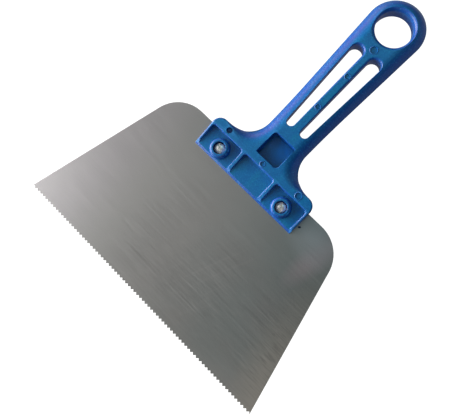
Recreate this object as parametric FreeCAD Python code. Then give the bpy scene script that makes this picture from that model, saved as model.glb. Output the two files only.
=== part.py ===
import FreeCAD, Part
import math
import os
from FreeCAD import Vector

# Notched trowel: a toothed spring-steel blade clamped in the split jaw of a moulded plastic handle
# by two slotted screws with hexagon nuts.  Millimetres.  X runs along the toothed edge, Y from the
# teeth to the hang hole, Z out of the front face.  While it is built, y = 0 is the line of the tooth
# tips and z = 0 the rear face of the handle; the last step moves the origin to the bottom centre of
# the bounding box.

# ---- driving dimensions -------------------------------------------------------------------------
overall_length = 222.8
handle_thickness = 10.0

# blade
blade_width = 180.0
blade_thickness = 0.5
blade_length = 100.4
blade_shoulder_half = 62.7
blade_shoulder_radius = 20.5
tooth_count = 78
tooth_depth = 1.1
tooth_tip_flat = 0.25

# handle outline
flange_half_width = 37.1
flange_start = 85.2
flange_end = 106.4
flange_corner_radius = 5.5
neck_half_width = 13.85
neck_radius = 16.0
waist_length = 30.0
grip_flare_deg = 2.4
grip_rounding = 9.0
neck_rounding = 8.0
neck_split_deg = 40.0
flange_rounding = 0.9
parting_line_proud = 0.12
parting_line_height = 0.3

# jaw
jaw_slope_start = 100.9
jaw_lip_height = 1.3
jaw_floor = 1.0
pocket_floor_rounding = 0.3
lip_bevel_rise = 0.85
lip_bevel_run = 1.4
pocket_top = 100.1
pocket_corner = 1.5
end_wall = 1.7
rib_offset = 12.05
rib_width = 2.4
rim_rounding = 0.7
rim_rounding_low = 0.5
edge_break = 0.35

# screw bosses
screw_offset = 23.8
screw_y = 92.3
boss_height = 4.45
boss_radius = 6.2
boss_rounding = 1.7
boss_draft = 0.5
boss_bore_radius = 3.5
shank_radius = 1.5
shank_clearance = 0.15

# fasteners
head_radius = 2.9
head_height = 2.5
head_dome = 1.1
slot_width = 1.0
slot_depth = 1.1
screw_length = 5.0
nut_across_flats = 5.5
nut_height = 2.4
nut_chamfer = 0.3
nut_pocket_clearance = 0.05
left_slot_angle = -42.0
right_slot_angle = -61.0

# recess in the front of the neck
recess_half_x = 7.5
recess_start = 105.2
recess_end = 120.4
recess_depth = 6.5
recess_taper = 0.35
recess_large_corner = 2.2
recess_small_corner = 0.4

# slots either side of the middle bar
bar_half_width = 2.65
slot_start = 127.7
slot_end = 186.0
slot_start_width = 4.9
slot_end_width = 7.4
slot_flare = 0.2
slot_rounding = 0.5
slot_end_rounding = 1.3
slot_rear_relief = 0.3

# hang hole
hole_y = 204.8
hole_radius = 10.4
hole_land = 1.1
hole_rounding = 2.8
hole_rear_rounding = 1.2
hole_rear_relief = 0.3

# round marks that the ejector pins leave in the front face: x, y, radius, depth
ejector_marks = [
    (-26.4, 103.2, 1.85, 2.2),
    (26.4, 103.2, 1.9, 0.35),
    (0.0, 102.3, 1.4, 0.35),
    (0.0, 145.6, 1.55, 0.35),
    (0.0, 168.3, 1.55, 0.35),
    (0.3, 188.3, 2.1, 0.4),
]
ejector_wall = 0.2
ejector_lip_width = 0.45
ejector_lip_height = 0.15
ejector_lip_max_depth = 1.0

# ---- derived ------------------------------------------------------------------------------------
mid_z = handle_thickness / 2
blade_bottom = mid_z - blade_thickness / 2
blade_top = mid_z + blade_thickness / 2
flare = math.radians(grip_flare_deg)
waist_start = flange_end + neck_radius
waist_radius = waist_length / math.sin(flare)
waist_end_x = neck_half_width + waist_radius * (1 - math.cos(flare))
waist_end_y = waist_start + waist_length
straight_run = overall_length - waist_end_y
end_radius = (waist_end_x + straight_run * math.tan(flare)) * math.cos(flare) / (1 + math.sin(flare))
end_y = overall_length - end_radius
grip_overhang = grip_rounding - math.sqrt(grip_rounding ** 2 - (grip_rounding - mid_z) ** 2)
neck_split_y = waist_start - neck_radius * math.cos(math.radians(neck_split_deg))
eps = 0.01


def polar(centre_x, centre_y, radius, degrees, z=0.0):
    """Point at a distance and an angle from a centre."""
    angle = math.radians(degrees)
    return Vector(centre_x + radius * math.cos(angle), centre_y + radius * math.sin(angle), z)


def line(a, b):
    """Straight edge from a to b."""
    return Part.makeLine(a, b)


def arc(centre_x, centre_y, radius, start, end, z=0.0):
    """Arc through its start, middle and end angle, in degrees."""
    points = [polar(centre_x, centre_y, radius, angle, z) for angle in (start, (start + end) / 2, end)]
    return Part.Arc(*points).toShape()


def closed_face(edges):
    """Flat face inside a closed loop of edges, given in any order."""
    return Part.Face(Part.Wire(Part.__sortEdges__(edges)))


def prism(edges, z_low, z_high):
    """Solid between two heights over a closed outline drawn at z = 0."""
    face = closed_face(edges)
    face.translate(Vector(0, 0, z_low))
    return face.extrude(Vector(0, 0, z_high - z_low))


def polygon(points):
    """Closed loop of straight edges through the points."""
    loop = points + points[:1]
    return [line(a, b) for a, b in zip(loop, loop[1:])]


def mirrored(shape):
    """The same shape on the other side of the plane x = 0."""
    return shape.mirror(Vector(0, 0, 0), Vector(1, 0, 0))


def flipped(shape):
    """The same shape on the other side of the blade's middle plane."""
    return shape.mirror(Vector(0, 0, mid_z), Vector(0, 0, 1))


def rounded_rectangle(x0, y0, x1, y1, radii):
    """Outline with its own radius at the lower left, lower right, upper right and upper left."""
    corners = [(x0, y0, 1, 1), (x1, y0, -1, 1), (x1, y1, -1, -1), (x0, y1, 1, -1)]
    edges = []
    ends = []
    for (x, y, in_x, in_y), radius, start in zip(corners, radii, (180, 270, 0, 90)):
        edges.append(arc(x + in_x * radius, y + in_y * radius, radius, start, start + 90))
        ends.append((edges[-1].Vertexes[0].Point, edges[-1].Vertexes[-1].Point))
    for (_, leave), (enter, _) in zip(ends, ends[1:] + ends[:1]):
        edges.append(line(leave, enter))
    return edges


def loft(lower_edges, lower_z, upper_edges, upper_z):
    """Solid between two outlines with the same edges in the same order."""
    wires = []
    for edges, z in ((lower_edges, lower_z), (upper_edges, upper_z)):
        wire = Part.Wire(Part.__sortEdges__(edges))
        wire.translate(Vector(0, 0, z))
        wires.append(wire)
    return Part.makeLoft(wires, True, True)


def fillet(shape, choose, radius):
    """Round every edge that choose accepts."""
    edges = [edge for edge in shape.Edges if choose(edge)]
    return shape.makeFillet(radius, edges)


# ---- blade --------------------------------------------------------------------------------------
def teeth():
    """Points of the toothed edge from left to right."""
    half = blade_width / 2
    pitch = blade_width / tooth_count
    points = []
    for tooth in range(tooth_count):
        left = -half + tooth * pitch
        points.append(Vector(left + tooth_tip_flat / 2, 0, 0))
        points.append(Vector(left + pitch / 2, tooth_depth, 0))
        points.append(Vector(left + pitch - tooth_tip_flat / 2, 0, 0))
    points[0] = Vector(-half, 0, 0)
    points[-1] = Vector(half, 0, 0)
    return points


def blade():
    """Flat steel plate that narrows to two rounded shoulders inside the jaw."""
    half = blade_width / 2
    points = teeth()
    side = Vector(blade_shoulder_half - half, blade_length, 0)
    interior = math.pi / 2 + math.atan2(half - blade_shoulder_half, blade_length)
    tangent = blade_shoulder_radius / math.tan(interior / 2)
    corner = Vector(blade_shoulder_half, blade_length, 0)
    unit = Vector(side).normalize()
    arc_start = corner - unit * tangent
    arc_end = corner - Vector(tangent, 0, 0)
    centre = arc_end - Vector(0, blade_shoulder_radius, 0)
    towards = (corner - centre).normalize()
    arc_middle = centre + towards * blade_shoulder_radius

    edges = [line(a, b) for a, b in zip(points, points[1:])]
    shoulder = Part.Arc(arc_start, arc_middle, arc_end).toShape()
    right = [line(points[-1], arc_start), shoulder]
    edges += right + [mirrored(edge) for edge in right]
    edges.append(line(arc_end, Vector(-arc_end.x, arc_end.y, 0)))
    plate = prism(edges, blade_bottom, blade_top)
    for side_sign in (-1, 1):
        hole = Part.makeCylinder(shank_radius + shank_clearance, handle_thickness,
                                 Vector(side_sign * screw_offset, screw_y, 0))
        plate = plate.cut(hole)
    return plate


# ---- handle -------------------------------------------------------------------------------------
def handle_outline(extra=0.0):
    """Outline as separate edges, right half first; extra widens the grip but not the flange."""
    corner_x = flange_half_width - flange_corner_radius
    corner_y = flange_end - flange_corner_radius
    neck_x = neck_half_width + extra + neck_radius
    waist_x = neck_half_width + extra + waist_radius
    waist_end = polar(waist_x, waist_start, waist_radius, 180 - grip_flare_deg)
    cap_radius = end_radius + extra * math.cos(flare)
    cap_start = polar(0, end_y, cap_radius, -grip_flare_deg)
    half = [
        line(Vector(0, flange_start, 0), Vector(flange_half_width, flange_start, 0)),
        line(Vector(flange_half_width, flange_start, 0), Vector(flange_half_width, corner_y, 0)),
        arc(corner_x, corner_y, flange_corner_radius, 0, 90),
        line(Vector(corner_x, flange_end, 0), Vector(neck_x, flange_end, 0)),
        arc(neck_x, waist_start, neck_radius, 270, 270 - neck_split_deg),
        arc(neck_x, waist_start, neck_radius, 270 - neck_split_deg, 180),
        arc(waist_x, waist_start, waist_radius, 180, 180 - grip_flare_deg),
        line(waist_end, cap_start),
        arc(0, end_y, cap_radius, -grip_flare_deg, 90),
    ]
    return half + [mirrored(edge) for edge in half]


def rounded(shape, rule):
    """Round edges with the start and end radius that rule(edge) gives, or leave them where it is None."""
    document = FreeCAD.newDocument("rounding")
    base = document.addObject("Part::Feature", "base")
    base.Shape = shape
    result = document.addObject("Part::Fillet", "result")
    result.Base = base
    numbered = [(number, rule(edge)) for number, edge in enumerate(shape.Edges, 1)]
    result.Edges = [(number, radii[0], radii[1]) for number, radii in numbered if radii]
    document.recompute()
    solid = result.Shape.Solids[0].copy()
    FreeCAD.closeDocument(document.Name)
    return solid


def middle_of(edge):
    """Point halfway along an edge."""
    return edge.valueAt((edge.FirstParameter + edge.LastParameter) / 2)


def on_a_face(edge):
    """True for an edge that lies flat in the front or the rear face of the handle."""
    box = edge.BoundBox
    level = min(abs(box.ZMin), abs(box.ZMin - handle_thickness))
    return box.ZLength < eps and level < eps


def between(start, end, edge):
    """Radii that go from start to end along an edge in the direction of +Y."""
    if edge.Vertexes[0].Point.y < edge.Vertexes[-1].Point.y:
        return start, end
    return end, start


def on_a_slope(edge):
    """True for an edge that lies in either sloped face of the jaw and runs down it."""
    rise = handle_thickness - (blade_top + jaw_lip_height)
    for point in (edge.Vertexes[0].Point, middle_of(edge), edge.Vertexes[-1].Point):
        drop = rise * (jaw_slope_start - point.y) / (jaw_slope_start - flange_start)
        level = abs(point.z - mid_z)
        if drop < -eps or abs(level - (handle_thickness - drop - mid_z)) > eps:
            return False
    ends = [vertex.Point.y for vertex in edge.Vertexes]
    return max(ends) > flange_start + eps and min(ends) < jaw_slope_start - eps


def outline_rounding(edge):
    """Large on the grip, small on the flange, and growing from one to the other round the neck."""
    middle = middle_of(edge)
    if on_a_slope(edge):
        return flange_rounding, flange_rounding
    if not on_a_face(edge) or middle.y < jaw_slope_start + eps:
        return None
    if middle.y > waist_start:
        return grip_rounding, grip_rounding
    if middle.y > neck_split_y:
        return between(neck_rounding, grip_rounding, edge)
    if middle.y > flange_end + eps:
        return between(flange_rounding, neck_rounding, edge)
    return flange_rounding, flange_rounding


def blank():
    """The handle without holes: its crowned front half and the same again behind."""
    deep = prism(handle_outline(grip_overhang), mid_z - grip_rounding, handle_thickness)
    crowned = rounded(deep.cut(slope_cut()), outline_rounding)
    front_room = Part.makeBox(4 * flange_half_width, 2 * overall_length, handle_thickness,
                              Vector(-2 * flange_half_width, 0, mid_z))
    front = crowned.common(front_room)
    return front.fuse(flipped(front)).removeSplitter()


def parting_line():
    """The fine raised line round the outer edge where the two halves of the mould meet."""
    wire = Part.Wire(Part.__sortEdges__(handle_outline())).makeOffset2D(parting_line_proud)
    z_low = mid_z - parting_line_height / 2
    plate = prism(wire.Edges, z_low, z_low + parting_line_height)
    behind_blade = Part.makeBox(4 * flange_half_width, overall_length, handle_thickness,
                                Vector(-2 * flange_half_width, jaw_slope_start, 0))
    return plate.common(behind_blade)


def slope_cut():
    """What is taken off the front of the flange so that it falls towards the blade."""
    rise = handle_thickness - (blade_top + jaw_lip_height)
    run = jaw_slope_start - flange_start
    below = flange_start - run
    above = handle_thickness + rise
    profile = [
        Vector(-2 * flange_half_width, jaw_slope_start, handle_thickness),
        Vector(-2 * flange_half_width, below, handle_thickness - 2 * rise),
        Vector(-2 * flange_half_width, below, above),
        Vector(-2 * flange_half_width, jaw_slope_start, above),
    ]
    return closed_face(polygon(profile)).extrude(Vector(4 * flange_half_width, 0, 0))


def lip_bevel():
    """What is taken off the front of the flange's lower edge, at a slant."""
    corner = blade_top + jaw_floor - lip_bevel_rise
    reach = 4 * jaw_lip_height
    rise = reach * lip_bevel_rise / lip_bevel_run
    x = -2 * flange_half_width
    profile = [
        Vector(x, flange_start - reach, corner - rise),
        Vector(x, flange_start + reach, corner + rise),
        Vector(x, flange_start - reach, corner + rise),
    ]
    return closed_face(polygon(profile)).extrude(Vector(4 * flange_half_width, 0, 0))


def pocket(x0, x1):
    """Cutter for one pocket of the front jaw, open at the lower edge of the flange."""
    floor = blade_top + jaw_floor
    below = flange_start - 2 * pocket_corner
    outline = rounded_rectangle(x0, below, x1, pocket_top, [pocket_corner] * 4)
    cutter = prism(outline, floor, handle_thickness + 1)
    return fillet(cutter, lambda edge: abs(edge.BoundBox.ZMax - floor) < eps, pocket_floor_rounding)


def front_pockets():
    """Cutters for the three pockets of the front jaw, with a rib between each two."""
    centre_half = rib_offset - rib_width / 2
    side = pocket(rib_offset + rib_width / 2, flange_half_width - end_wall)
    return [pocket(-centre_half, centre_half), side, mirrored(side)]


def pocket_rounding(edge):
    """Radii where a pocket opens in a sloped face: they shrink as its walls run out."""
    if not on_a_slope(edge) or abs(middle_of(edge).x) > flange_half_width - end_wall + eps:
        return None
    if edge.BoundBox.YLength > pocket_top - flange_start - 2 * pocket_corner:
        return between(rim_rounding_low, rim_rounding, edge)
    return rim_rounding, rim_rounding


def boss():
    """Right boss of the front jaw: a rounded, slightly tapered post on the pocket's floor."""
    z0 = blade_top + jaw_floor / 2
    z1 = blade_top + boss_height
    shoulder = z1 - boss_rounding
    top_radius = boss_radius - boss_draft - boss_rounding
    centre = Vector(top_radius, 0, shoulder)
    angles = (0, math.pi / 4, math.pi / 2)
    bend = [centre + Vector(math.cos(angle), 0, math.sin(angle)) * boss_rounding for angle in angles]
    edges = [
        line(Vector(0, 0, z0), Vector(boss_radius, 0, z0)),
        line(Vector(boss_radius, 0, z0), bend[0]),
        Part.Arc(*bend).toShape(),
        line(bend[2], Vector(0, 0, z1)),
        line(Vector(0, 0, z1), Vector(0, 0, z0)),
    ]
    post = closed_face(edges).revolve(Vector(0, 0, 0), Vector(0, 0, 1), 360)
    post.translate(Vector(screw_offset, screw_y, 0))
    return post


def head_bore():
    """Cutter for the counterbore that the right screw head sits in."""
    floor = blade_top + jaw_floor
    return Part.makeCylinder(boss_bore_radius, handle_thickness, Vector(screw_offset, screw_y, floor))


def bore_rim(edge):
    """True for the circle where a head bore opens in the top of its boss."""
    middle = middle_of(edge)
    distance = math.hypot(abs(middle.x) - screw_offset, middle.y - screw_y)
    at_top = abs(middle.z - blade_top - boss_height) < eps
    return at_top and abs(distance - boss_bore_radius) < eps and edge.BoundBox.ZLength < eps


def hexagon(across_flats, x, y):
    """Outline with two corners on a line along X."""
    corner = across_flats / 2 / math.cos(math.pi / 6)
    return polygon([polar(x, y, corner, 60 * side) for side in range(6)])


def nut_pocket():
    """Cutter for the hexagonal recess that the right nut sits in."""
    outline = hexagon(nut_across_flats + 2 * nut_pocket_clearance, screw_offset, screw_y)
    return prism(outline, -1, blade_bottom - jaw_floor)


def shank_hole():
    """Cutter for the right screw's shank, through both jaws."""
    return Part.makeCylinder(shank_radius + shank_clearance, handle_thickness,
                             Vector(screw_offset, screw_y, 0))


def blade_gap():
    """Cutter for the gap between the jaws, exactly as thick and deep as the blade in it."""
    return Part.makeBox(4 * flange_half_width, blade_length - flange_start + 1, blade_thickness,
                        Vector(-2 * flange_half_width, flange_start - 1, blade_bottom))


def with_mouth(tube, rule):
    """A cutter that reaches the front face, with the rim that it leaves there rounded by rule(edge)."""
    above = Part.makeBox(4 * flange_half_width, overall_length, 1,
                         Vector(-2 * flange_half_width, jaw_slope_start, handle_thickness))
    return rounded(tube.fuse(above), rule)


def recess():
    """Cutter for the blind rectangular recess in the front of the neck, wider at the face."""
    radii = [recess_small_corner, recess_large_corner] * 2
    z0 = handle_thickness - recess_depth
    top = rounded_rectangle(-recess_half_x, recess_start, recess_half_x, recess_end, radii)
    inset = recess_taper
    bottom = rounded_rectangle(inset - recess_half_x, recess_start + inset, recess_half_x - inset,
                               recess_end - inset, radii)
    return with_mouth(loft(bottom, z0, top, handle_thickness), recess_rim)


def recess_rim(edge):
    """One small radius all round the mouth of the recess."""
    middle = middle_of(edge)
    inside = abs(middle.x) < recess_half_x + eps and recess_start - eps < middle.y < recess_end + eps
    return (edge_break, edge_break) if on_a_face(edge) and inside else None


def slot_outline(grow):
    """Tapered slot to the right of the middle bar, as two arcs and their common tangents."""
    r0 = slot_start_width / 2
    r1 = slot_end_width / 2
    y0 = slot_start + r0
    y1 = slot_end - r1
    x0 = bar_half_width + r0
    x1 = bar_half_width + r1
    axis = math.atan2(y1 - y0, x1 - x0)
    lean = math.degrees(math.acos((r0 - r1) / math.hypot(x1 - x0, y1 - y0)))
    right = math.degrees(axis) - lean
    left = math.degrees(axis) + lean
    lower = arc(x0, y0, r0 + grow, left - 360, right)
    upper = arc(x1, y1, r1 + grow, right, left)
    return [
        lower,
        line(lower.Vertexes[-1].Point, upper.Vertexes[0].Point),
        upper,
        line(upper.Vertexes[-1].Point, lower.Vertexes[0].Point),
    ]


def slot_rounding_of(edge):
    """Radii round the mouth of a slot, larger towards the hang hole."""
    middle = middle_of(edge)
    inside = 0 < middle.x < waist_end_x and slot_start - 1 < middle.y < slot_end + 1
    if not on_a_face(edge) or not inside:
        return None
    if middle.y > slot_end - slot_end_width / 2:
        return slot_end_rounding, slot_end_rounding
    if middle.y < slot_start + slot_start_width / 2:
        return slot_rounding, slot_rounding
    return between(slot_rounding, slot_end_rounding, edge)


def half_slot(relief):
    """Cutter for the front half of the right slot, with a rounded mouth; relief widens it all round."""
    tube = loft(slot_outline(relief), mid_z, slot_outline(relief + slot_flare), handle_thickness)
    return with_mouth(tube, slot_rounding_of)


def slots():
    """Cutters for both slots; the rear half is a little wider, as its core is, so a fine step shows."""
    right = [half_slot(0), flipped(half_slot(slot_rear_relief))]
    return right + [mirrored(cutter) for cutter in right]


def quarter(centre_x, centre_z, radius, start):
    """Three points of a quarter circle in the plane y = 0, from its start angle on."""
    angles = [math.radians(start + step) for step in (0, 45, 90)]
    return [Vector(centre_x + radius * math.cos(a), 0, centre_z + radius * math.sin(a)) for a in angles]


def hang_hole():
    """Cutter for the hang hole: rounded mouths, a short land near the front and a wider rear part."""
    wall = hole_radius + hole_rear_relief
    land_top = handle_thickness - hole_rounding
    land_bottom = land_top - hole_land
    rear_bend = quarter(wall + hole_rear_rounding, hole_rear_rounding, hole_rear_rounding, 180)
    front_bend = quarter(hole_radius + hole_rounding, land_top, hole_rounding, 90)
    above = handle_thickness + 1
    edges = [
        line(Vector(0, 0, -1), Vector(rear_bend[2].x, 0, -1)),
        line(Vector(rear_bend[2].x, 0, -1), rear_bend[2]),
        Part.Arc(*rear_bend).toShape(),
        line(rear_bend[0], Vector(wall, 0, land_bottom)),
        line(Vector(wall, 0, land_bottom), Vector(hole_radius, 0, land_bottom)),
        line(Vector(hole_radius, 0, land_bottom), front_bend[2]),
        Part.Arc(*front_bend).toShape(),
        line(front_bend[0], Vector(front_bend[0].x, 0, above)),
        line(Vector(front_bend[0].x, 0, above), Vector(0, 0, above)),
        line(Vector(0, 0, above), Vector(0, 0, -1)),
    ]
    cutter = closed_face(edges).revolve(Vector(0, 0, 0), Vector(0, 0, 1), 360)
    # its seam is turned away from the ends of the grip's end cap, where the cut would fail
    cutter.rotate(Vector(0, 0, 0), Vector(0, 0, 1), 90)
    cutter.translate(Vector(0, hole_y, 0))
    return cutter


def add_ejector_mark(body, x, y, radius, depth):
    """Body with a round dent in its front face; a shallow one has a low raised ring round it."""
    if depth < ejector_lip_max_depth:
        face = Vector(x, y, handle_thickness - ejector_lip_height)
        base_radius = radius + ejector_lip_width + ejector_lip_height
        ring = Part.makeCone(base_radius, radius + ejector_lip_height, 2 * ejector_lip_height, face)
        body = body.fuse(ring)
    bottom = Vector(x, y, handle_thickness - depth)
    return body.cut(Part.makeCone(radius - ejector_wall, radius, depth + 2 * ejector_lip_height, bottom))


def handle():
    """The moulded handle: outline, holes and slots first, then the jaw, then the small details."""
    body = blank().fuse(parting_line()).cut(hang_hole())
    for cutter in slots():
        body = body.cut(cutter)
    for cutter in front_pockets():
        body = body.cut(cutter).cut(flipped(cutter))
    body = rounded(body, pocket_rounding)
    body = body.cut(lip_bevel()).cut(flipped(lip_bevel()))
    for post in (boss(), flipped(boss())):
        body = body.fuse(post).fuse(mirrored(post))
    for cutter in (head_bore(), nut_pocket(), shank_hole()):
        body = body.cut(cutter).cut(mirrored(cutter))
    body = fillet(body, bore_rim, edge_break)
    body = body.cut(recess()).cut(blade_gap())
    for mark in ejector_marks:
        body = add_ejector_mark(body, *mark)
    return body.removeSplitter()


# ---- fasteners ----------------------------------------------------------------------------------
def screw(slot_angle):
    """Slotted screw with a domed head, standing on z = 0 under its head, shank downwards."""
    rim = head_height - head_dome
    dome_middle = Vector(head_radius * 0.55, 0, head_height - head_dome * 0.3)
    chamfer = 0.2 * shank_radius
    shank_end = chamfer - screw_length
    edges = [
        line(Vector(0, 0, -screw_length), Vector(shank_radius - chamfer, 0, -screw_length)),
        line(Vector(shank_radius - chamfer, 0, -screw_length), Vector(shank_radius, 0, shank_end)),
        line(Vector(shank_radius, 0, shank_end), Vector(shank_radius, 0, 0)),
        line(Vector(shank_radius, 0, 0), Vector(head_radius, 0, 0)),
        line(Vector(head_radius, 0, 0), Vector(head_radius, 0, rim)),
        Part.Arc(Vector(head_radius, 0, rim), dome_middle, Vector(0, 0, head_height)).toShape(),
        line(Vector(0, 0, head_height), Vector(0, 0, -screw_length)),
    ]
    body = closed_face(edges).revolve(Vector(0, 0, 0), Vector(0, 0, 1), 360)
    groove = Part.makeBox(4 * head_radius, slot_width, head_height,
                          Vector(-2 * head_radius, -slot_width / 2, head_height - slot_depth))
    groove.rotate(Vector(0, 0, 0), Vector(0, 0, 1), slot_angle)
    return body.cut(groove)


def nut():
    """Hexagon nut standing on z = 0, with both faces chamfered at the corners."""
    corner = nut_across_flats / 2 / math.cos(math.pi / 6)
    flat = nut_across_flats / 2
    body = prism(hexagon(nut_across_flats, 0, 0), 0, nut_height)
    turned = [
        line(Vector(0, 0, 0), Vector(flat, 0, 0)),
        line(Vector(flat, 0, 0), Vector(corner, 0, nut_chamfer)),
        line(Vector(corner, 0, nut_chamfer), Vector(corner, 0, nut_height - nut_chamfer)),
        line(Vector(corner, 0, nut_height - nut_chamfer), Vector(flat, 0, nut_height)),
        line(Vector(flat, 0, nut_height), Vector(0, 0, nut_height)),
        line(Vector(0, 0, nut_height), Vector(0, 0, 0)),
    ]
    body = body.common(closed_face(turned).revolve(Vector(0, 0, 0), Vector(0, 0, 1), 360))
    return body.cut(Part.makeCylinder(shank_radius, nut_height))


# ---- assembly -----------------------------------------------------------------------------------
def assembly():
    """Every piece by name, each in its place."""
    parts = {"handle": handle(), "blade": blade()}
    for side, sign, slot_angle in (("left", -1, left_slot_angle), ("right", 1, right_slot_angle)):
        placed_screw = screw(slot_angle)
        placed_screw.translate(Vector(sign * screw_offset, screw_y, blade_top + jaw_floor))
        placed_nut = nut()
        placed_nut.translate(Vector(sign * screw_offset, screw_y, blade_bottom - jaw_floor - nut_height))
        parts["clamp_screw_" + side] = placed_screw
        parts["clamp_nut_" + side] = placed_nut
    return parts


os.makedirs("parts", exist_ok=True)
whole_length = overall_length + parting_line_proud
for name, shape in assembly().items():
    shape.translate(Vector(0, -whole_length / 2, 0))
    print(name, "valid", shape.isValid(), "solids", len(shape.Solids), "volume", round(shape.Volume, 2))
    shape.exportStep("parts/" + name + ".step")
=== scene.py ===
"""Notched trowel: the materials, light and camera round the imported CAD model."""

import math

import bpy
from mathutils import Euler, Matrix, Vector


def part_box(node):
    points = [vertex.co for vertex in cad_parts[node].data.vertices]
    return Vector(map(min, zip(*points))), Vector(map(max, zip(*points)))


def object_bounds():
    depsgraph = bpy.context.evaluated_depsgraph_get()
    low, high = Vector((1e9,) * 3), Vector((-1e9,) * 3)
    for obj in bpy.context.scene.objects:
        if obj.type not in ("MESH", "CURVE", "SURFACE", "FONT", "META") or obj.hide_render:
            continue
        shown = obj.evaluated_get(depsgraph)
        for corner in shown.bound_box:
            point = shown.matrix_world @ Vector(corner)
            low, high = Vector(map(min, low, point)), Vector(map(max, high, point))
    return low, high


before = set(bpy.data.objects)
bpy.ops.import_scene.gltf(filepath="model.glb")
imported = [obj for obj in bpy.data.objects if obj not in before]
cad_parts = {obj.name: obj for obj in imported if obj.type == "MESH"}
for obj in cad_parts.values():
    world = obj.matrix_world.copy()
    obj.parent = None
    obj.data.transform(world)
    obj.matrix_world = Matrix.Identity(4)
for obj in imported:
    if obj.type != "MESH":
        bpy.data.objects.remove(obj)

CAD_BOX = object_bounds()
MM = 0.001

# Camera: held over the middle of the tool and turned so that the handle points up and right.
CAMERA_PLACE = Vector((34.73, -29.83, 255.22)) * MM
CAMERA_TURN = (3.55, 6.46, 44.65)
SENSOR_WIDTH = 36.0
LENS = 35.14
NEAR_LIMIT = 0.01

# Light: a wide, low window on the tool's left, brightest at its far end, and weak fills all round.
# Each is azimuth and elevation in degrees, width and height in metres, watts and colour.
LIGHT_DISTANCE = 0.8
LIGHTS = {
    "window_far": (197.5, 8.0, 0.50, 0.32, 9.9, (1.07, 0.97, 0.96)),
    "window_near": (230.0, 8.0, 0.60, 0.32, 3.6, (1.05, 0.99, 0.97)),
    "window_middle": (222.0, 20.0, 0.85, 0.30, 6.9, (1.0, 1.02, 0.98)),
    "window_top": (210.0, 38.0, 0.80, 0.35, 1.1, (0.97, 0.98, 1.06)),
    "back_left": (152.0, 11.0, 0.60, 0.30, 1.4, (1.3, 0.90, 0.80)),
    "sky": (95.0, 48.0, 0.50, 0.50, 0.75, (0.6, 1.2, 1.2)),
    "back_right": (45.0, 15.0, 1.00, 0.30, 0.7, (0.6, 0.95, 1.4)),
    "right": (305.0, 42.0, 0.70, 0.50, 0.9, (1.1, 0.97, 0.92)),
    "ceiling": (180.0, 75.0, 0.40, 0.40, 0.25, (1.0, 1.0, 1.0)),
}

# The room and the floor look white to the camera, but throw only a little light on the tool.
ROOM_COLOUR = (0.98, 0.98, 0.98, 1.0)
ROOM_LIGHT = 0.03
ROOM_SEEN = 0.95
FLOOR_LIGHT = 0.30
FLOOR_SEEN = 1.1
FLOOR_HALF = 8.0
FLOOR_GAP = 0.05 * MM
CARD_COLOUR = (0.10, 0.10, 0.10, 1.0)
CARD_MOTTLE = (0.09, 0.09, 0.09, 1.0)
CARD_ROUGHNESS = 0.9
CARD_GLOSS = 0.1
GLOW_WHITE = (1.0, 1.0, 1.0, 1.0)

# Most of a noise lies between these two values.
NOISE_RANGE = (0.3, 0.7)

# Scales of the noises, in features per metre.
FLOW_SCALE = 160.0
SPECK_SCALE = 1100.0
RUBBING_SCALE = 120.0
GRAIN_SCALE = 3200.0
WAVE_SCALE = 180.0
CLOUD_SCALE = 16.0
GREEN_PATCH_SCALE = 30.0
STAIN_SCALE = 900.0
PLATING_GRAIN_SCALE = 4000.0
CARD_SCALE = 30.0

# Depths of the fine relief in the shaders.
GRAIN_DEPTH = 0.02 * MM
WAVE_DEPTH = 0.05 * MM
GRINDING_DEPTH = 0.004 * MM
PLATING_GRAIN_DEPTH = 0.006 * MM

# Blue plastic, in linear colours. Faces that lean away from level are a deeper blue: the level and
# the steep blue are lit and shaded copies of one blue, painted light and painted shade.
LIT_LEVEL_BLUE = (0.001, 0.119, 0.318, 1.0)
SHADED_STEEP_BLUE = (0.001, 0.052, 0.295, 1.0)
# The teal of the flow mottle lies on level faces only, so it is also a painted sheen there.
TEAL_MOTTLE_AND_SHEEN_BLUE = (0.001, 0.148, 0.300, 1.0)
DEEP_BLUE = (0.001, 0.085, 0.270, 1.0)
PALE_BLUE = (0.014, 0.180, 0.440, 1.0)
# Paler blue on convex edges: a painted highlight, and light wear.
WEAR_AND_HIGHLIGHT_BLUE = (0.040, 0.240, 0.560, 1.0)
PLASTIC_ROUGHNESS = (0.31, 0.44)
PLASTIC_IOR = 1.44

# The normal's Z from the painted shade of a leaning face to the painted light of a level one, and
# the pointiness from none to the full painted edge highlight and wear.
LIGHT_AND_SHADE_SLOPES = (0.86, 0.995)
WEAR_AND_HIGHLIGHT_RANGE = (0.52, 0.60)

# Mottling: the noise's values for none and for most of it, and the colour's share at both.
FLOW_TEAL_AND_SHEEN = (0.5, 0.68, 0.0, 0.7)
FLOW_DEEP = (0.48, 0.32, 0.0, 0.6)
SPECK_DEEP = (0.48, 0.34, 0.0, 0.75)
SPECK_PALE = (0.54, 0.68, 0.0, 0.6)
FLOW_STRETCH = (1.0, 2.2, 1.0)

# The painted pool of light on the floor of the square recess: its centre and half sizes in metres,
# the levels from none to all of it, also in metres, and the normal's Z from none to all of it.
RECESS_LIT_BLUE = (0.002, 0.190, 0.560, 1.0)
RECESS_PATCH = ((0.0035, 0.0035), 0.0110, 0.0090)
RECESS_LEVELS = (0.0046, 0.0038)
RECESS_SLOPES = (0.5, 0.9)

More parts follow.
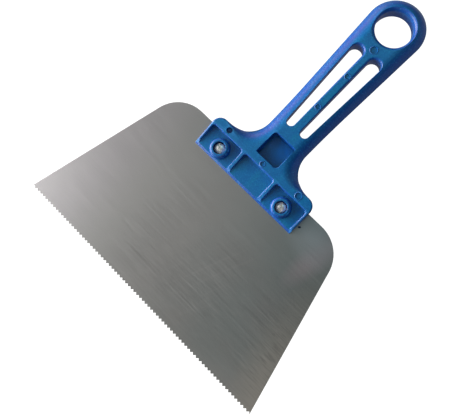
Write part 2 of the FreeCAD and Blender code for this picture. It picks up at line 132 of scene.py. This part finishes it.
# Ground steel and what lies on it, in linear colours, with a painted reflection on the left end, a
# greenish painted reflection on the right side and a painted glow next to the flange.
STEEL = (0.346, 0.346, 0.336, 1.0)
STEEL_CLOUD = (0.357, 0.355, 0.343, 1.0)
STEEL_LEFT_REFLECTION = (0.373, 0.362, 0.366, 1.0)
STEEL_GREEN_REFLECTION = (0.316, 0.358, 0.353, 1.0)
STEEL_SMEARED = (0.49, 0.45, 0.47, 1.0)
STEEL_GROOVE = (0.30, 0.305, 0.30, 1.0)
STEEL_TIP = (0.398, 0.402, 0.368, 1.0)
STEEL_SCRATCHED = (0.46, 0.46, 0.44, 1.0)
STEEL_SCORED = (0.24, 0.25, 0.24, 1.0)
STEEL_WIPED = (0.43, 0.43, 0.42, 1.0)
# A lighter bluish grey painted next to the flange, as painted light over the handle's shade.
STEEL_FLANGE_GLOW = (0.47, 0.51, 0.535, 1.0)
DARK_SPECK = (0.02, 0.04, 0.10, 1.0)
STEEL_ROUGHNESS = (0.43, 0.46)
GRINDING_ROUGHNESS = (-0.05, 0.05)

# Where the painted reflection on the left end and the greenish painted reflection on the right side
# begin and are full, in metres along X, and the noise's values for the faintest and the strongest
# green patches, with the green's share at both.
LEFT_REFLECTION_END = (-0.040, -0.066)
GREEN_REFLECTION_SIDE = (-0.005, 0.05)
GREEN_REFLECTION_PATCHES = (0.35, 0.62, 0.45, 1.0)

# The values of the line noises from none of a mark to all of it.
GROOVE_RANGE = (0.35, 0.65)
LIGHT_SCRATCH_RANGE = (0.54, 0.66)
DARK_SCRATCH_RANGE = (0.46, 0.36)
STREAK_RANGE = (0.56, 0.72)

# The largest share of each mark's colour, and of the scratches in the middle of the blade.
GROOVE_SHARE = 0.20
TIP_SHARE = 0.9
SCRATCH_SHARE = 0.5
MIDDLE_SHARE = 0.45
WIPED_SHARE = 0.32
# The share of the painted glow that lifts the shade on the blade next to the flange.
FLANGE_GLOW_SHARE = 0.85

# A soft-edged ellipse is full within this share of its size.
PATCH_CORE = 0.25

# Ellipses on the blade: centre, half length and half width in metres, and turn from X in degrees.
BLADE_PATCHES = {
    "smear": ((0.0565, -0.026), 0.026, 0.0085, 83.0),
    "tip": ((0.083, -0.085), 0.060, 0.020, -75.0),
    "used_edge": ((0.074, -0.078), 0.040, 0.020, -75.0),
    "used_middle": ((0.022, -0.084), 0.060, 0.034, 0.0),
    "wiped": ((0.020, -0.080), 0.050, 0.026, 68.0),
    # Painted glow: lifts the shade on the blade next to the flange.
    "flange_glow": ((0.0455, -0.0165), 0.024, 0.016, -30.0),
    "speck": ((0.0385, -0.0198), 0.0011, 0.0007, 40.0),
}

# Plated fasteners. The screw heads are painted darker below the foot of their dome, HEAD_DOME high,
# as painted shade in the slot and down in the bore.
HEAD_DOME = 1.1 * MM
SUNK_SHADE_FADE = 0.1 * MM
SUNK_SHADE_SHARE = 0.85
SUNK_SHADE = (0.05, 0.06, 0.07, 1.0)
DULL_RANGE = (0.4, 0.7)
SCREW_PLATING = (0.92, 0.92, 0.90, 1.0)
NUT_PLATING = (0.70, 0.71, 0.72, 1.0)
DULLING = 0.9
PLATING_METALLIC = 0.5
PLATING_ROUGHNESS = (0.32, 0.42)


def put(tree, value, socket):
    """Links value to the socket if it is an output, or else sets it as the socket's constant."""
    if isinstance(value, bpy.types.NodeSocket):
        tree.links.new(value, socket)
    else:
        socket.default_value = value


def add(tree, kind, inputs=None, **settings):
    """One shader node, with its settings, values and links."""
    node = tree.nodes.new("ShaderNode" + kind)
    for name, value in settings.items():
        setattr(node, name, value)
    for name, value in (inputs or {}).items():
        put(tree, value, node.inputs[name])
    return node


def new_material(name):
    """An empty material: its node tree, its surface shader and its object coordinates in metres."""
    material = bpy.data.materials.new(name)
    material.use_nodes = True
    tree = material.node_tree
    tree.nodes.clear()
    surface = add(tree, "BsdfPrincipled")
    add(tree, "OutputMaterial", {"Surface": surface.outputs["BSDF"]})
    place = add(tree, "TexCoord").outputs["Object"]
    return material, tree, surface, place


def part_of(tree, vector, axis):
    """The X, Y or Z part of a vector."""
    return add(tree, "SeparateXYZ", {"Vector": vector}).outputs[axis]


def stretched(tree, place, sizes, turn=0.0, centre=(0.0, 0.0, 0.0)):
    """Coordinates from centre in units of sizes, along axes turned about Z by turn degrees."""
    node = add(tree, "Mapping", {"Vector": place}, vector_type="TEXTURE")
    node.inputs["Location"].default_value = centre
    node.inputs["Rotation"].default_value = (0.0, 0.0, math.radians(turn))
    node.inputs["Scale"].default_value = sizes
    return node.outputs["Vector"]


def noise(tree, place, scale, detail=2.0, roughness=0.5, distortion=0.0):
    """Fractal noise from 0 to 1; scale is in features per metre."""
    values = {
        "Vector": place,
        "Scale": scale,
        "Detail": detail,
        "Roughness": roughness,
        "Distortion": distortion,
    }
    return add(tree, "TexNoise", values).outputs["Fac"]


def lines(tree, place, length, spacing, turn=0.0, detail=3.0):
    """Fine parallel lines from 0 to 1, at turn degrees from X; length and spacing are in metres."""
    along = stretched(tree, place, (length, spacing, 1.0), turn)
    return noise(tree, along, 1.0, detail, roughness=0.65)


def spread(tree, value, low, high, new_low=0.0, new_high=1.0):
    """value from low to high, mapped to new_low to new_high and clamped."""
    limits = {
        "Value": value,
        "From Min": low,
        "From Max": high,
        "To Min": new_low,
        "To Max": new_high,
    }
    return add(tree, "MapRange", limits).outputs["Result"]


def combine(tree, operation, first, second=0.0):
    """One arithmetic operation on first and second, or on first alone where it takes only one."""
    node = add(tree, "Math", operation=operation)
    put(tree, first, node.inputs[0])
    put(tree, second, node.inputs[1])
    return node.outputs["Value"]


def times(tree, first, second):
    """first multiplied by second."""
    return combine(tree, "MULTIPLY", first, second)


def tint(tree, share, base, other):
    """The colour base changed towards other by share."""
    node = add(tree, "Mix", data_type="RGBA", blend_type="MIX")
    share_socket, base_socket, other_socket = node.inputs[0], node.inputs[6], node.inputs[7]
    put(tree, share, share_socket)
    put(tree, base, base_socket)
    put(tree, other, other_socket)
    return node.outputs[2]


def bump(tree, height, depth, under=None):
    """A bump of depth metres, on top of the bump under it."""
    values = {"Height": height, "Distance": depth, "Strength": 1.0}
    if under is not None:
        values["Normal"] = under
    return add(tree, "Bump", values).outputs["Normal"]


def patch(tree, place, centre, half_length, half_width, turn=0.0):
    """1 at centre and 0 outside a soft-edged ellipse whose length lies at turn degrees from X."""
    offset = stretched(tree, place, (half_length, half_width, 1.0), turn, (*centre, 0.0))
    distance = add(tree, "VectorMath", {0: offset}, operation="LENGTH").outputs["Value"]
    return spread(tree, distance, PATCH_CORE, 1.0, 1.0, 0.0)


def blade_patch(tree, place, name):
    """The named ellipse on the blade."""
    return patch(tree, place, *BLADE_PATCHES[name])


def paint(nodes, material):
    """Puts the material on the CAD nodes."""
    for name in nodes:
        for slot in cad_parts[name].material_slots:
            slot.material = material


def plastic_colour(tree, place, up):
    """Blue by the slope of the face, as painted light and shade, mottled by the flow of the melt
    and by fine specks; the teal of the mottle lies on level faces only, as a painted sheen.
    """
    # Painted light and shade: level faces get the lit blue, leaning faces the shaded blue.
    lit_flatness = spread(tree, combine(tree, "ABSOLUTE", up), *LIGHT_AND_SHADE_SLOPES)
    colour = tint(tree, lit_flatness, SHADED_STEEP_BLUE, LIT_LEVEL_BLUE)
    along_grip = stretched(tree, place, FLOW_STRETCH)
    flow = noise(tree, along_grip, FLOW_SCALE, detail=3.0, roughness=0.6, distortion=0.6)
    # Teal mottle on level faces only: random tone of the melt, and a painted sheen of overhead
    # light.
    teal_mottle_and_sheen = times(tree, spread(tree, flow, *FLOW_TEAL_AND_SHEEN), lit_flatness)
    colour = tint(tree, teal_mottle_and_sheen, colour, TEAL_MOTTLE_AND_SHEEN_BLUE)
    colour = tint(tree, spread(tree, flow, *FLOW_DEEP), colour, DEEP_BLUE)
    specks = noise(tree, place, SPECK_SCALE, roughness=0.6)
    colour = tint(tree, spread(tree, specks, *SPECK_DEEP), colour, DEEP_BLUE)
    return tint(tree, spread(tree, specks, *SPECK_PALE), colour, PALE_BLUE)


def recess_light(tree, place, up):
    """1 in the painted pool of light on the floor of the square recess, and 0 elsewhere."""
    low = spread(tree, part_of(tree, place, "Z"), *RECESS_LEVELS)
    on_floor = times(tree, low, spread(tree, up, *RECESS_SLOPES))
    return times(tree, patch(tree, place, *RECESS_PATCH), on_floor)


def handle_plastic():
    """Blue polypropylene, moulded with a fine spark-eroded grain and rubbed a little by use, with
    painted highlights on its convex edges and a painted pool of light in the square recess.
    """
    material, tree, surface, place = new_material("moulded_blue")
    geometry = add(tree, "NewGeometry")
    up = part_of(tree, geometry.outputs["Normal"], "Z")
    colour = plastic_colour(tree, place, up)
    # Painted highlight on convex edges, found from the mesh's pointiness, standing also for light
    # wear.
    wear_and_highlight = spread(tree, geometry.outputs["Pointiness"], *WEAR_AND_HIGHLIGHT_RANGE)
    colour = tint(tree, wear_and_highlight, colour, WEAR_AND_HIGHLIGHT_BLUE)
    # Painted light: a paler blue where light falls on the floor of the square recess.
    colour = tint(tree, recess_light(tree, place, up), colour, RECESS_LIT_BLUE)
    tree.links.new(colour, surface.inputs["Base Color"])

    rubbed = noise(tree, place, RUBBING_SCALE, detail=4.0, roughness=0.6)
    rough = spread(tree, rubbed, *NOISE_RANGE, *PLASTIC_ROUGHNESS)
    tree.links.new(rough, surface.inputs["Roughness"])
    surface.inputs["IOR"].default_value = PLASTIC_IOR
    grain = noise(tree, place, GRAIN_SCALE, detail=3.0, roughness=0.65)
    waves = noise(tree, place, WAVE_SCALE, detail=1.0)
    relief = bump(tree, waves, WAVE_DEPTH, under=bump(tree, grain, GRAIN_DEPTH))
    tree.links.new(relief, surface.inputs["Normal"])
    return material


def clean_steel(tree, place, clouds):
    """The sheet's colour: faint clouds, a left end painted brighter as a painted reflection, and a
    greenish painted reflection in patches on the right.
    """
    colour = tint(tree, spread(tree, clouds, *NOISE_RANGE), STEEL, STEEL_CLOUD)
    across = part_of(tree, place, "X")
    # Painted reflection: the left end of the blade is made brighter.
    colour = tint(tree, spread(tree, across, *LEFT_REFLECTION_END), colour, STEEL_LEFT_REFLECTION)
    # A greenish painted reflection on the right side, broken into patches by noise.
    green_patches = spread(tree, noise(tree, place, GREEN_PATCH_SCALE), *GREEN_REFLECTION_PATCHES)
    green_reflection = times(tree, spread(tree, across, *GREEN_REFLECTION_SIDE), green_patches)
    return tint(tree, green_reflection, colour, STEEL_GREEN_REFLECTION)


def scratch_marks(tree, place):
    """Shares of light and of dark scratches, which lie where the blade is used most."""
    middle = times(tree, blade_patch(tree, place, "used_middle"), MIDDLE_SHARE)
    used = combine(tree, "MAXIMUM", blade_patch(tree, place, "used_edge"), middle)
    scratches = lines(tree, place, length=0.010, spacing=0.0010, turn=1.0, detail=1.5)
    light = times(tree, spread(tree, scratches, *LIGHT_SCRATCH_RANGE), used)
    dark = times(tree, spread(tree, scratches, *DARK_SCRATCH_RANGE), used)
    return light, dark


def wiped_streaks(tree, place):
    """The share of long pale streaks, where the blade was wiped across its length."""
    streaks = lines(tree, place, length=0.055, spacing=0.0030, turn=68.0, detail=1.0)
    area = times(tree, blade_patch(tree, place, "wiped"), WIPED_SHARE)
    return times(tree, spread(tree, streaks, *STREAK_RANGE), area)


def blade_steel():
    """Cold-rolled spring steel, ground along its length, with scratches and smears, a painted
    reflection on its left end, a greenish painted reflection on its right side and a painted glow
    next to the flange.
    """
    material, tree, surface, place = new_material("ground_steel")
    surface.inputs["Metallic"].default_value = 1.0
    clouds = noise(tree, place, CLOUD_SCALE, distortion=0.4)
    grinding = lines(tree, place, length=0.040, spacing=0.0006)
    light_marks, dark_marks = scratch_marks(tree, place)
    layers = (  # the share of each mark and its colour, from the lowest up
        (blade_patch(tree, place, "smear"), STEEL_SMEARED),
        (spread(tree, grinding, *GROOVE_RANGE, new_high=GROOVE_SHARE), STEEL_GROOVE),
        (times(tree, blade_patch(tree, place, "tip"), TIP_SHARE), STEEL_TIP),
        (times(tree, light_marks, SCRATCH_SHARE), STEEL_SCRATCHED),
        (times(tree, dark_marks, SCRATCH_SHARE), STEEL_SCORED),
        (wiped_streaks(tree, place), STEEL_WIPED),
        # Painted light next to the flange, over the handle's shade.
        (times(tree, blade_patch(tree, place, "flange_glow"), FLANGE_GLOW_SHARE), STEEL_FLANGE_GLOW),
        (spread(tree, blade_patch(tree, place, "speck"), 0.0, 0.5), DARK_SPECK),
    )
    colour = clean_steel(tree, place, clouds)
    for share, layer_colour in layers:
        colour = tint(tree, share, colour, layer_colour)
    tree.links.new(colour, surface.inputs["Base Color"])

    hazy = spread(tree, clouds, *NOISE_RANGE, *STEEL_ROUGHNESS)
    grooved = spread(tree, grinding, *NOISE_RANGE, *GRINDING_ROUGHNESS)
    tree.links.new(combine(tree, "ADD", hazy, grooved), surface.inputs["Roughness"])
    ground = bump(tree, grinding, GRINDING_DEPTH)
    relief = bump(tree, light_marks, GRINDING_DEPTH, under=ground)
    tree.links.new(relief, surface.inputs["Normal"])
    return material


def plated_steel(name, colour, shaded_below):
    """Turned steel with a thin, slightly dulled plating, painted darker below the level
    shaded_below as painted shade.
    """
    material, tree, surface, place = new_material(name)
    surface.inputs["Metallic"].default_value = PLATING_METALLIC
    dull = (*(value * DULLING for value in colour[:3]), 1.0)
    stains = noise(tree, place, STAIN_SCALE, detail=3.0, roughness=0.6)
    plating = tint(tree, spread(tree, stains, *DULL_RANGE), colour, dull)
    level = part_of(tree, place, "Z")
    # Painted shade: darker below the foot of the dome, in the slot and down in the bore.
    sunk_shade = spread(tree, level, shaded_below, shaded_below - SUNK_SHADE_FADE, new_high=SUNK_SHADE_SHARE)
    tree.links.new(tint(tree, sunk_shade, plating, SUNK_SHADE), surface.inputs["Base Color"])
    rough = spread(tree, stains, *NOISE_RANGE, *PLATING_ROUGHNESS)
    tree.links.new(rough, surface.inputs["Roughness"])
    grain = noise(tree, place, PLATING_GRAIN_SCALE, detail=3.0, roughness=0.6)
    tree.links.new(bump(tree, grain, PLATING_GRAIN_DEPTH), surface.inputs["Normal"])
    return material


def by_ray(tree, others, seen):
    """The strength seen where the camera looks straight at a surface, and others elsewhere."""
    straight = add(tree, "LightPath").outputs["Is Camera Ray"]
    return spread(tree, straight, 0.0, 1.0, others, seen)


def pale_floor():
    """A matt grey card under the tool, which glows white where the camera sees it."""
    material, tree, surface, place = new_material("floor_card")
    mottle = tint(tree, noise(tree, place, CARD_SCALE), CARD_COLOUR, CARD_MOTTLE)
    tree.links.new(mottle, surface.inputs["Base Color"])
    surface.inputs["Roughness"].default_value = CARD_ROUGHNESS
    surface.inputs["Specular IOR Level"].default_value = CARD_GLOSS
    surface.inputs["Emission Color"].default_value = GLOW_WHITE
    glow = by_ray(tree, FLOOR_LIGHT, FLOOR_SEEN)
    tree.links.new(glow, surface.inputs["Emission Strength"])
    level = CAD_BOX[0].z - FLOOR_GAP
    corners = [
        (x * FLOOR_HALF, y * FLOOR_HALF, level) for x, y in ((-1, -1), (1, -1), (1, 1), (-1, 1))
    ]
    mesh = bpy.data.meshes.new("floor")
    mesh.from_pydata(corners, [], [(0, 1, 2, 3)])
    mesh.materials.append(material)
    floor = bpy.data.objects.new("floor", mesh)
    bpy.context.scene.collection.objects.link(floor)


def soft_light(name, azimuth, elevation, width, height, watts, colour):
    """An area light that faces the middle of the tool."""
    azimuth, elevation = math.radians(azimuth), math.radians(elevation)
    level = math.cos(elevation)
    away = Vector((level * math.cos(azimuth), level * math.sin(azimuth), math.sin(elevation)))
    data = bpy.data.lights.new(name, "AREA")
    data.shape = "RECTANGLE"
    data.size = width
    data.size_y = height
    data.energy = watts
    data.color = colour
    light = bpy.data.objects.new(name, data)
    light.location = away * LIGHT_DISTANCE
    light.rotation_euler = (-away).to_track_quat("-Z", "Y").to_euler()
    bpy.context.scene.collection.objects.link(light)


def room():
    """An even room: dim as a light, pale where the camera sees it."""
    world = bpy.data.worlds.new("room")
    world.use_nodes = True
    tree = world.node_tree
    tree.nodes.clear()
    strength = by_ray(tree, ROOM_LIGHT, ROOM_SEEN)
    light = add(tree, "Background", {"Color": ROOM_COLOUR, "Strength": strength})
    add(tree, "OutputWorld", {"Surface": light.outputs["Background"]})
    bpy.context.scene.world = world


def camera():
    """The camera that the finished picture is taken with."""
    data = bpy.data.cameras.new("camera")
    data.sensor_fit = "HORIZONTAL"
    data.sensor_width = SENSOR_WIDTH
    data.lens = LENS
    data.clip_start = NEAR_LIMIT
    viewer = bpy.data.objects.new("camera", data)
    viewer.location = CAMERA_PLACE
    viewer.rotation_euler = Euler([math.radians(angle) for angle in CAMERA_TURN], "XYZ")
    bpy.context.scene.collection.objects.link(viewer)
    bpy.context.scene.camera = viewer


paint(["handle"], handle_plastic())
paint(["blade"], blade_steel())
dome_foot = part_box("clamp_screw_left")[1].z - HEAD_DOME
paint(
    ["clamp_screw_left", "clamp_screw_right"],
    plated_steel("screw_plating", SCREW_PLATING, dome_foot),
)
paint(
    ["clamp_nut_left", "clamp_nut_right"],
    plated_steel("nut_plating", NUT_PLATING, CAD_BOX[0].z),
)
pale_floor()
for light_name, light_settings in LIGHTS.items():
    soft_light(light_name, *light_settings)
room()
camera()
bpy.context.scene.view_settings.view_transform = "Standard"
